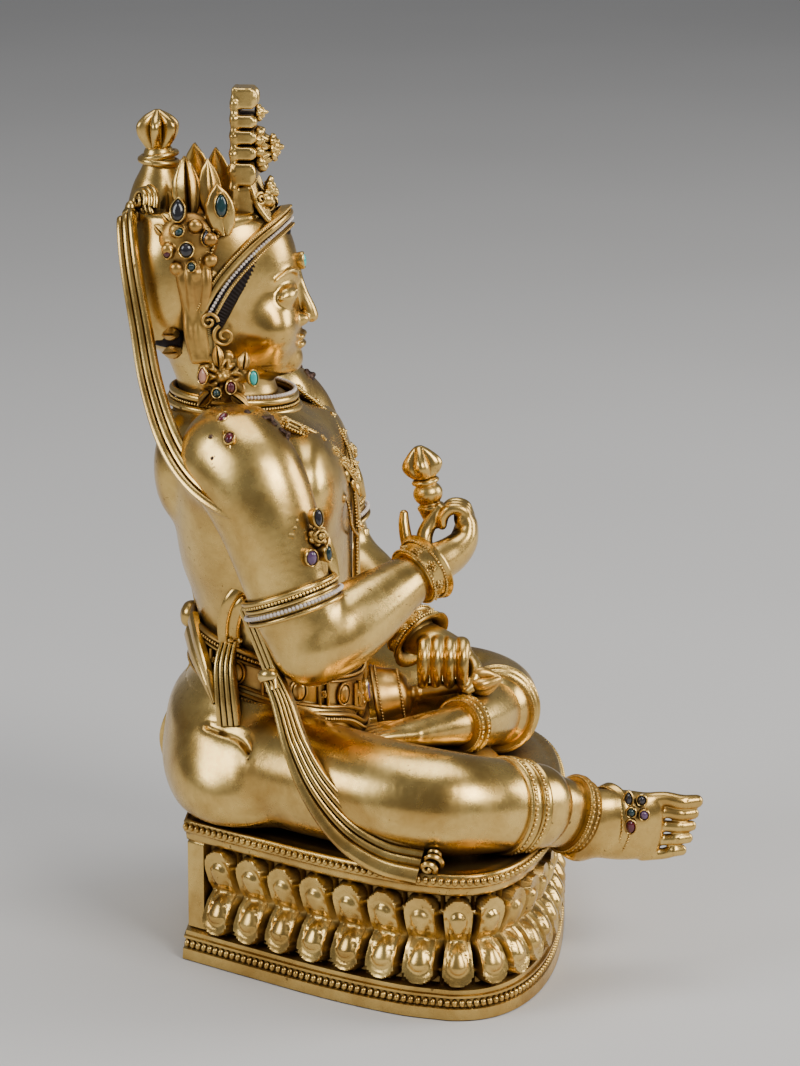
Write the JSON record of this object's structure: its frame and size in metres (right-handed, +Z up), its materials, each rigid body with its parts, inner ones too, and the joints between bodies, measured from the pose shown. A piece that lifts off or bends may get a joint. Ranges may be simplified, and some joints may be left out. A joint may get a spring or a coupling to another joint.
{
  "type": "gilt bronze vajrasattva statue",
  "caption": "Seated crowned figure in gilt bronze on a double lotus throne, one foot reaching past the rim, with a sceptre in the raised hand and a bell in the lap.",
  "frame": {"origin": "centre of the throne's underside, halfway between its flat back and its front edge", "axes": "+Z up, the figure faces -Y, its right hand is on the -X side"},
  "size_m": [0.2262, 0.2429, 0.36],
  "materials": {
    "gold": "polished gilding with brown patina in the recesses",
    "dull_gold": "worn dull gilding",
    "pearl": "satin seed pearls",
    "turquoise": "polished cabochon",
    "garnet": "polished cabochon",
    "amethyst": "polished cabochon",
    "deep_green": "polished cabochon",
    "onyx": "polished cabochon",
    "coral": "satin cabochon"
  },
  "bodies": {
    "root": {"lotus_base": "gold", "figure": "gold", "vajra": "gold", "bell": "dull_gold", "forehead_turquoise": "turquoise", "rosette_stone_top": "onyx", "rosette_stone_leaf": "deep_green", "rosette_stone_green": "deep_green", "rosette_stone_round": "onyx", "rosette_stone_red": "garnet", "rosette_stone_drop": "onyx", "rosette_stone_blue": "deep_green", "earring_stone_coral": "coral", "earring_stone_red": "garnet", "earring_stone_green": "deep_green", "earring_stone_blue": "turquoise", "shoulder_stone_red": "garnet", "shoulder_stone_blue": "turquoise", "shoulder_stone_brown": "garnet", "armlet_stone_upper": "onyx", "armlet_stone_teal": "deep_green", "armlet_stone_purple": "amethyst", "clasp_stone": "amethyst", "foot_stone_drop": "garnet", "foot_stone_round": "garnet", "foot_stone_green": "deep_green", "foot_stone_violet": "amethyst", "foot_stone_large": "garnet", "crown_pearls": "pearl", "collar_pearls": "pearl", "right_armlet_pearls": "pearl", "left_armlet_pearls": "pearl"}
  },
  "joints": []
}
